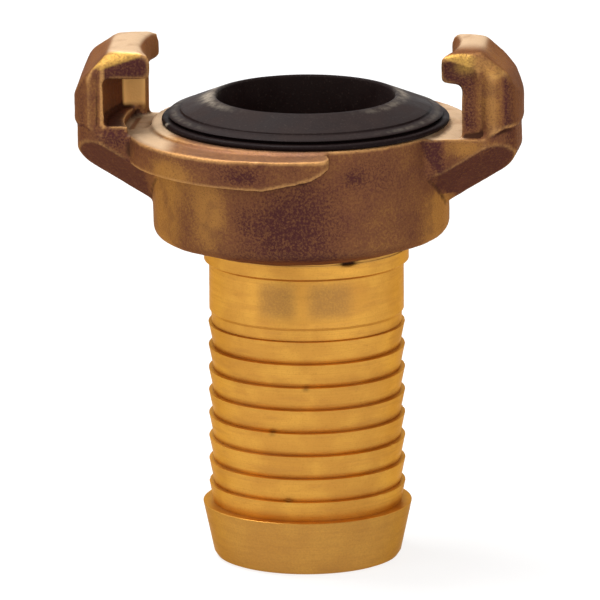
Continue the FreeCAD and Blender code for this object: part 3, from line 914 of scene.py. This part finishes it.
def mark_root_lines(mesh):
    """Attribute for the dark line at each tooth's root, the collar's top edge and the core in the head."""
    places = vertex_places(mesh) / MM
    radius = radius_of(places)
    height = places[:, 2]
    teeth_top = TOOTH_START_Z + TOOTH_COUNT * TOOTH_PITCH + 2 * TOOTH_STEP
    on_teeth = (height > TOOTH_START_Z) & (height < teeth_top)
    at_root = on_teeth & (radius < TOOTH_ROOT_R + 0.02) & (radius > BORE_R + 1)
    in_head = (height > COLLAR_TOP_Z - 0.02) & (radius > CORE_NECK_R - 0.02)
    store_attribute(mesh, "root_line", np.maximum(1.0 * at_root, 0.8 * in_head))


def mark_dull_and_reflections(mesh):
    """Attribute for the two painted dark reflections on the neck and for the duller end barb."""
    places = vertex_places(mesh) / MM
    patches = sum(spot(places, centre, size, REFLECTION_SQUARENESS) for centre, size in NECK_PAINTED_REFLECTIONS)
    barb = (places[:, 2] < BARB_TOP_Z) & (radius_of(places) > BORE_R + 0.5)
    store_attribute(mesh, "dull_and_reflection", np.clip(np.maximum(REFLECTION_DARKNESS * patches, BARB_DULLNESS * barb), 0, 1))


def cut_flaws(mesh):
    """The dark lap beside the collar and three small nicks in tooth edges, sunk into the mesh and marked."""
    places = vertex_places(mesh) / MM
    lap = spot(places, LAP_PLACE, LAP_SIZE)
    nicks = sum(spot(places, place, NICK_SIZE) for place in NICK_PLACES)
    inward = places * (-1, -1, 0) / radius_of(places)[:, None]
    places += inward * (LAP_DEPTH * lap + NICK_DEPTH * nicks)[:, None]
    mesh.vertices.foreach_set("co", (places * MM).ravel())
    store_attribute(mesh, "flaw", np.clip(LAP_DARKNESS * lap + NICK_DARKNESS * nicks, 0, 1))


# Forged head

def head_cutter():
    """Closed turned shape that takes the tail and the core out of the CAD body, leaving a small overlap."""
    neck = CORE_NECK_R - NECK_OVERLAP
    core = CORE_R - CORE_OVERLAP
    cone_low, cone_high = (z + NECK_OVERLAP for z in CORE_CONE_Z)
    low, high = CUTTER_Z
    wall = [
        (CUTTER_R, low), (CUTTER_R, COLLAR_TOP_Z), (neck, COLLAR_TOP_Z), (neck, cone_low), (core, cone_high),
        (core, high),
    ]
    vertices = [(0, 0, low * MM), (0, 0, high * MM)]
    faces = []
    rows = len(wall)
    for k in range(CUTTER_SEGMENTS):
        angle = math.tau * k / CUTTER_SEGMENTS
        vertices += [(r * MM * math.cos(angle), r * MM * math.sin(angle), z * MM) for r, z in wall]
        a = 2 + k * rows
        b = 2 + (k + 1) % CUTTER_SEGMENTS * rows
        faces.append((0, b, a))
        faces.append((1, a + rows - 1, b + rows - 1))
        faces += [(a + j, b + j, b + j + 1, a + j + 1) for j in range(rows - 1)]
    mesh = bpy.data.meshes.new("head_cutter")
    mesh.from_pydata(vertices, [], faces)
    return link_mesh("head_cutter", mesh)


def merged_copy(node):
    """Copy of a CAD node's mesh with its loose triangles merged into closed shells."""
    mesh = node.data.copy()
    shell = bmesh.new()
    shell.from_mesh(mesh)
    bmesh.ops.remove_doubles(shell, verts=shell.verts, dist=1e-7)
    shell.to_mesh(mesh)
    shell.free()
    if "custom_normal" in mesh.attributes:
        mesh.attributes.remove(mesh.attributes["custom_normal"])
    return mesh


def raw_skin(node):
    """The CAD body above the collar, remeshed so that its edges are as soft as a forging's."""
    head = link_mesh("forged_head", merged_copy(node))
    cutter = head_cutter()
    cut = head.modifiers.new("core", "BOOLEAN")
    cut.object = cutter
    cut.solver = "EXACT"
    remesh = head.modifiers.new("skin", "REMESH")
    remesh.mode = "VOXEL"
    remesh.voxel_size = SKIN_VOXEL * MM
    smooth = head.modifiers.new("soft", "SMOOTH")
    smooth.iterations = SKIN_SMOOTHING
    apply_modifiers(head)
    bpy.data.objects.remove(cutter)
    return head


def claw_frame(vectors, places):
    """Places or directions in the forging's own frame, with the -X claw turned onto the +X one."""
    lean = math.radians(FORGING_LEAN_DEG)
    x = vectors[:, 0] * math.cos(lean) - vectors[:, 2] * math.sin(lean)
    z = vectors[:, 0] * math.sin(lean) + vectors[:, 2] * math.cos(lean)
    side = np.where(places[:, 0] < 0, -1.0, 1.0)
    return np.stack([x * side, vectors[:, 1] * side, z], 1)


def claw_relief(local, local_normals):
    """Depth in millimetres of the valleys on each claw's end faces, below 0 on the ridges between them."""
    x, y_normal, z = local[:, 0], local_normals[:, 1], local[:, 2]
    tall = smooth_step(z, 56.5, 58.5) * (1 - smooth_step(z, 64.5, 66.5))
    open_end = sum(share * swell(x, middle, half) for share, middle, half in OPEN_END_RELIEF)
    closed_end = sum(share * swell(x, middle, half) for share, middle, half in CLOSED_END_RELIEF)
    on_open_end = smooth_step(y_normal, *END_FACING)
    on_closed_end = smooth_step(-y_normal, *END_FACING)
    return RELIEF_DEPTH * tall * (on_open_end * open_end + on_closed_end * closed_end)


def skin_depth(places, normals):
    """Depth in millimetres of the forging's broad waves and fine pits, 0 on the faced rim."""
    depth = np.array([
        WAVE_DEPTH * (0.5 + 0.5 * noise.noise(Vector(p) / WAVE_SIZE))
        + PIT_DEPTH * (0.5 + 0.5 * noise.noise(Vector(p) / PIT_SIZE + Vector(PIT_SHIFT)))
        for p in places
    ])
    depth[(places[:, 2] > RIM_Z - 0.15) & (normals[:, 2] > 0.9) & (radius_of(places) < FACED_R)] = 0
    return depth


def edge_bend(places, normals, edges):
    """How far the skin bends round each vertex: above 0 on edges, below 0 in corners."""
    bend = ((places - neighbour_mean(places, edges)) * normals).sum(1, keepdims=True) / SKIN_VOXEL
    for _ in range(BEND_SMOOTHING):
        bend = (bend + neighbour_mean(bend, edges)) / 2
    return bend[:, 0]


def forged_head(node):
    """The raw upper half of the body with a forging's waves, pits, rubbed edges and dark corners, and its
    painted light, shade and highlights.
    """
    head = raw_skin(node)
    mesh = head.data
    edges = vertex_pairs(mesh)
    places = vertex_places(mesh) / MM
    softness = smooth_step(places[:, 2:], *SOFT_Z) / 2
    for _ in range(CLAW_SMOOTHING):
        places += (neighbour_mean(places, edges) - places) * softness
    normals = set_places(mesh, places)
    places -= normals * claw_relief(claw_frame(places, places), claw_frame(normals, places))[:, None]
    normals = set_places(mesh, places)
    set_places(mesh, places - normals * skin_depth(places, normals)[:, None])
    mark_head(mesh, places, normals, edge_bend(places, normals, edges))
    mesh.shade_smooth()
    mesh.materials.clear()
    mesh.materials.append(forged_brass())
    return head


def mark_head(mesh, places, normals, bend):
    """Attributes for the worn edges with their painted highlights, dark corners, trimmed bevels with a
    painted glint, rubbed and faced areas painted paler as lit, painted light on the rim, and the oxide's tint
    with painted light and shade.
    """
    local = claw_frame(places, places)
    local_normals = claw_frame(normals, places)
    # convex edges worn bright and painted as highlight lines
    store_attribute(mesh, "worn_and_highlight", 0.9 * smooth_step(bend, 0.022, 0.10))
    store_attribute(mesh, "cavity", smooth_step(-bend, 0.012, 0.08))
    # trimmed bevels, and a painted glint by the closed end's nose
    store_attribute(mesh, "trimmed_and_glint", bevel_and_glint_mask(local))
    # the pockets' end walls, rubbed bright and painted paler to light their shade
    store_attribute(mesh, "rubbed_and_lit", stop_mask(local))
    # faced tops and rim, painted paler as lit from above
    store_attribute(mesh, "faced_and_lit", np.maximum(top_mask(local, places, normals), rim_mask(places, normals)))
    # painted light on the rim left of the ring, in the shade of the left claw's nose
    store_attribute(mesh, "painted_light_rim", spot(places, *RIM_PAINTED_LIGHT_SPOT) * (normals[:, 2] > 0.5))
    # the oxide's tint, with painted light and shade on the skirt and claws
    store_attribute(mesh, "oxide_tint_and_shading", skirt_tint_and_shading(places) + claw_tint_and_shading(local, local_normals))


def bevel_and_glint_mask(local):
    """1 on the bright trimmed bevels at both ends of each claw's lip, less at the back of the closed end, and
    on a painted glint on the closed end's face below its nose.
    """
    x, y = local[:, 0], local[:, 1]
    mask = np.zeros(len(local))
    for end in (-1, 1):
        a = np.array([NOSE_R, end * (HALF_WIDTH - BEVEL_INSET[0]), CLAW_TOP_Z])
        b = np.array([CREASE_X, end * (HALF_WIDTH - BEVEL_INSET[1]), CLAW_TOP_Z])
        c = np.array([NOSE_R, end * HALF_WIDTH, CLAW_TOP_Z - BEVEL_DROP])
        normal = np.cross(b - a, c - a)
        normal *= np.sign(normal[2]) / np.linalg.norm(normal)
        near = 1 - smooth_step(np.abs((local - a) @ normal), 0.10, 0.28)
        outer = smooth_step(y * end, HALF_WIDTH - BEVEL_INSET[1], HALF_WIDTH - 0.9)
        mask = np.maximum(mask, near * outer * (x > NOSE_R - 1))
    browner = 0.7 * smooth_step(x, 22.6, 24.0) * smooth_step(-y, 2.0, 4.0)
    # the spot by the closed end's nose is a painted glint
    return np.maximum(mask * (1 - browner), 0.85 * spot(local, *NOSE_PAINTED_GLINT))


def stop_mask(local):
    """1 on the end wall of each claw's pocket, which the mating ledge has rubbed bright, painted paler still
    to light it in the pocket's shade.
    """
    x, y, z = local.T
    depth = 1 - smooth_step(np.abs(y - STOP_Y), 0.15, 0.45)
    inside = smooth_step(z, POCKET_FLOOR_Z, POCKET_FLOOR_Z + 0.8) * (z < LIP_UNDER_Z)
    return depth * inside * (x < STOP_OUT_X) * (x > NOSE_R - 1)


def top_mask(local, places, normals):
    """1 on the ground top of each claw's lip, painted paler as the overhead light shows it, fading out behind
    it and at the right claw's closed end.
    """
    level = smooth_step(local[:, 2], CLAW_TOP_Z - 1.6, CLAW_TOP_Z - 0.5)
    level *= smooth_step(normals[:, 2], 0.70, 0.95)
    level *= 1 - smooth_step(local[:, 0], CREASE_X - 1.0, CREASE_X + 2.2)
    return level * np.where(places[:, 0] > 0, smooth_step(local[:, 1], -5.0, 1.0), 1.0)


def rim_mask(places, normals):
    """1 on the faced rim round the ring and on the ledge tops beside it, painted paler as lit from above,
    less in front and at the back.
    """
    level = (places[:, 2] > RIM_Z - 0.9) & (places[:, 2] < RIM_Z + 0.6)
    share = smooth_step(normals[:, 2], 0.70, 0.93) * (1 - smooth_step(radius_of(places), 22.0, 23.2)) * level
    return share * (0.12 + 0.88 * smooth_step(np.abs(places[:, 0]), 14.5, 17.0))


def soft_patches(angle, height, table):
    """Sum of soft patches of tint round the axis."""
    return sum(
        strength * swell(angle, middle, half_angle) * swell(height, level, half_height)
        for strength, middle, half_angle, level, half_height in table
    )


def skirt_tint_and_shading(places):
    """How golden (above 0) or purple (below 0) the oxide is round the skirt and on the ledges, with painted
    light on the skirt's sides and foot and painted shade in its front and beside the right claw's keel.
    """
    angle = np.degrees(np.arctan2(places[:, 1], places[:, 0]))
    height = places[:, 2]
    radius = radius_of(places)
    foot = swell(angle, FOOT_ANGLE, FOOT_HALF_ANGLE) * (1 - smooth_step(height, *FOOT_TOP_Z))
    past_edge = angle - BAND_ANGLE - BAND_DEG_PER_MM * (BAND_ANGLE_Z - height)
    band = smooth_step(past_edge, -2.0, 1.0) * (angle < 0) * (height > BAND_FROM_Z)
    # painted light on the foot and painted shade of the right claw's keel in the band
    skirt = soft_patches(angle, height, SKIRT_STAINS_AND_SHADING) + FOOT_PAINTED_LIGHT * foot - KEEL_PAINTED_SHADE * band
    ledge = soft_patches(angle, height, LEDGE_STAINS) * (radius < LEDGE_FAR_R)
    return (height < RIM_Z) * (skirt * (1 - smooth_step(radius, *SKIRT_R)) + ledge)


def claw_tint_and_shading(local, local_normals):
    """The same for the claws: golden lands, dark outer strips, a painted highlight on each closed end's
    golden column, painted shade on its dark panel, painted light on the pocket walls and painted shade on the
    pocket floors and the undersides.
    """
    x, y, z = local.T
    on_claw = x > CLAW_FROM_X
    high = smooth_step(z, *CLAW_FROM_Z)
    closed_end = smooth_step(-local_normals[:, 1], *END_FACING)
    open_end = smooth_step(local_normals[:, 1], *END_FACING)
    column = swell(x, COLUMN_X, COLUMN_HALF)
    panel = 1 - smooth_step(x, *PANEL_END_X)
    under_lip = (1 - smooth_step(x, *LIP_END_X)) * smooth_step(z, *LIP_FROM_Z)
    # painted highlight on the closed end's column and painted shade on its panel
    ends = closed_end * (0.22 * column - 0.28 * panel - 0.5 * smooth_step(x, *CLOSED_STRIP_X))
    ends += open_end * (0.02 - 0.48 * under_lip - 0.28 * smooth_step(x, *OPEN_STRIP_X))
    outside = smooth_step(local_normals[:, 0], 0.55, 0.90) * smooth_step(x, *OUTSIDE_X)
    # painted light on the pocket walls and painted shade on their floors
    pocket = (z > POCKET_FLOOR_Z - 1) * (z < LIP_UNDER_Z) * (np.abs(y) < HALF_WIDTH - 0.2)
    pocket = pocket * (x > NOSE_R) * (x < POCKET_OUT_X)
    floor = smooth_step(local_normals[:, 2], 0.4, 0.8)
    # painted shade on the undersides
    under = smooth_step(-local_normals[:, 2], 0.15, 0.50) * (0.1 + 0.4 * smooth_step(x, *FAR_OUT_X))
    tint = ends * high * on_claw - 0.22 * outside + pocket * (0.05 - 0.65 * floor) - under
    return tint + 0.7 * spot(local, *GOLDEN_LAND) - 0.4 * spot(local, *DARK_BLOCK)


# Sealing ring

def ring_profile():
    """Section of the moulded ring: flange in the undercut, rounded bead, V groove and conical lip."""
    bead = [
        (BEAD_R - BEAD_ROUND + BEAD_ROUND * math.cos(a), RIM_Z + BEAD_MIDDLE + BEAD_ROUND * math.sin(a))
        for a in (math.radians(d) for d in range(-84, 85, 21))
    ]
    flange = [
        (SEAT_R, SEAT_Z), (SEAT_R, UNDERCUT_Z[0]), (UNDERCUT_R, UNDERCUT_Z[0]), (UNDERCUT_R, UNDERCUT_Z[1]),
        (SEAT_R, UNDERCUT_Z[1]), (SEAT_R, RIM_Z + 0.01), (17.6, RIM_Z + 0.01),
    ]
    groove = [(17.45, 58.07), (17.05, 58.02), (17.0, 58.06), (17.1, 58.12)]
    lip = [(17.55, 58.36), (17.66, 58.43), (17.68, 58.5), (17.6, 58.56)]
    step = [(16.40, 58.91), (16.24, 58.93), (16.14, 59.0), (16.06, 59.18)]
    top = [(12.15, 60.76), (11.98, 60.81), (11.8, 60.83), (11.62, 60.76), (11.52, 60.6), (RING_HOLE_R, 60.3)]
    return [(RING_HOLE_R, SEAT_Z), *flange, *bead, *groove, *lip, *step, *top, (RING_HOLE_R, SEAT_Z)]


def ring_tree(revolve):
    """Tree that revolves the ring's section and lets its free top sag a little here and there."""
    tree = Tree("moulded_ring")
    segments = tree.add_input("Segments", RING_SEGMENTS, "NodeSocketInt")
    sag = tree.add_input("Unevenness", RING_SAG * MM)
    seed = tree.add_input("Seed", RING_SEED)
    material = tree.add_input("Material", None, "NodeSocketMaterial")
    body = use_revolve(tree, revolve, tree.start.outputs["Geometry"], segments)
    position = tree.node("GeometryNodeInputPosition").outputs[0]
    uneven = uneven_value(tree, position, seed, SAGS_PER_METRE, 1.0)
    height = tree.node("ShaderNodeSeparateXYZ", Vector=position).outputs["Z"]
    above = tree.math("GREATER_THAN", height, (RIM_Z + 0.1) * MM)
    downward = tree.math("MULTIPLY", above, -1.0)
    drop = tree.math("MULTIPLY", tree.math("MULTIPLY", uneven, sag), downward)
    offset = tree.node("ShaderNodeCombineXYZ", Z=drop).outputs[0]
    body = tree.node("GeometryNodeSetPosition", Geometry=body, Offset=offset).outputs[0]
    finish_tree(tree, body, material)
    return tree


def mark_ring(mesh):
    """Attributes for the dust and painted light on the cone and in the hole, and for the scuffs and painted
    highlights on the cone, bead and edges.
    """
    places = vertex_places(mesh) / MM
    x, height = places[:, 0], places[:, 2]
    radius = radius_of(places)
    sideways = smooth_step(np.abs(x), 6.0, 15.0)
    # dust and painted light on the cone, more on its left side, less along the step near its edge
    cone = smooth_step(height, 58.3, 58.7) * smooth_step(radius, 11.55, 12.1)
    cone *= 1 + 0.9 * spot(places, *CONE_PAINTED_LIGHT_SIDE)
    cone *= 1 - (0.3 + 0.6 * sideways) * swell(radius, 16.2, 0.2)
    # the hole is painted lighter, with dust
    in_hole = 0.45 * (radius < 11.6) * (height > SEAT_Z)
    store_attribute(mesh, "dust_and_light", np.maximum(cone, in_hole))
    # painted highlights on the cone, round the hole, on the bead and on the lip's sides
    on_cone = sum(strength * spot(places, centre, size) for strength, centre, size in CONE_PAINTED_HIGHLIGHTS)
    by_hole = 0.15 + 0.38 * smooth_step(-x, 5.0, 12.0) + 0.24 * smooth_step(x, 5.0, 12.0)
    by_hole *= (height > 60.0) * swell(radius, 12.5, 0.8)
    on_bead = 0.8 * spot(places, *BEAD_PAINTED_HIGHLIGHT)
    on_lip = 0.36 * (height > 58.4) * swell(radius, 17.0, 0.55) * sideways
    store_attribute(mesh, "scuff_and_highlight", on_cone + by_hole + on_bead + on_lip)


def sealing_ring(revolve):
    """Rubber ring revolved from its section, a little uneven, dusty and scuffed, with painted light and
    painted highlights.
    """
    ring = link_mesh("rubber_ring", profile_mesh("ring_section", ring_profile(), RING_STEPS_MM))
    run_tree(ring, ring_tree(revolve), {"Material": moulded_rubber(), "Segments": RING_SEGMENTS})
    face_outward(ring.data)
    mark_ring(ring.data)
    return ring


# The dressed coupling

bpy.context.scene.view_settings.view_transform = "Standard"
make_camera()
make_world()
make_floor()
make_dark_card()
for lamp in LAMPS:
    make_lamp(*lamp)

revolve_profile = revolve_group()
tail = turned_tail(revolve_profile)
head = forged_head(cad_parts["coupling_body"])
ring = sealing_ring(revolve_profile)
for piece, node, slot in (
    (tail, "coupling_body", "brass_body"),
    (head, "coupling_body", "brass_body"),
    (ring, "sealing_ring", "rubber_seal"),
):
    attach(piece, "root")
    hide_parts(node)
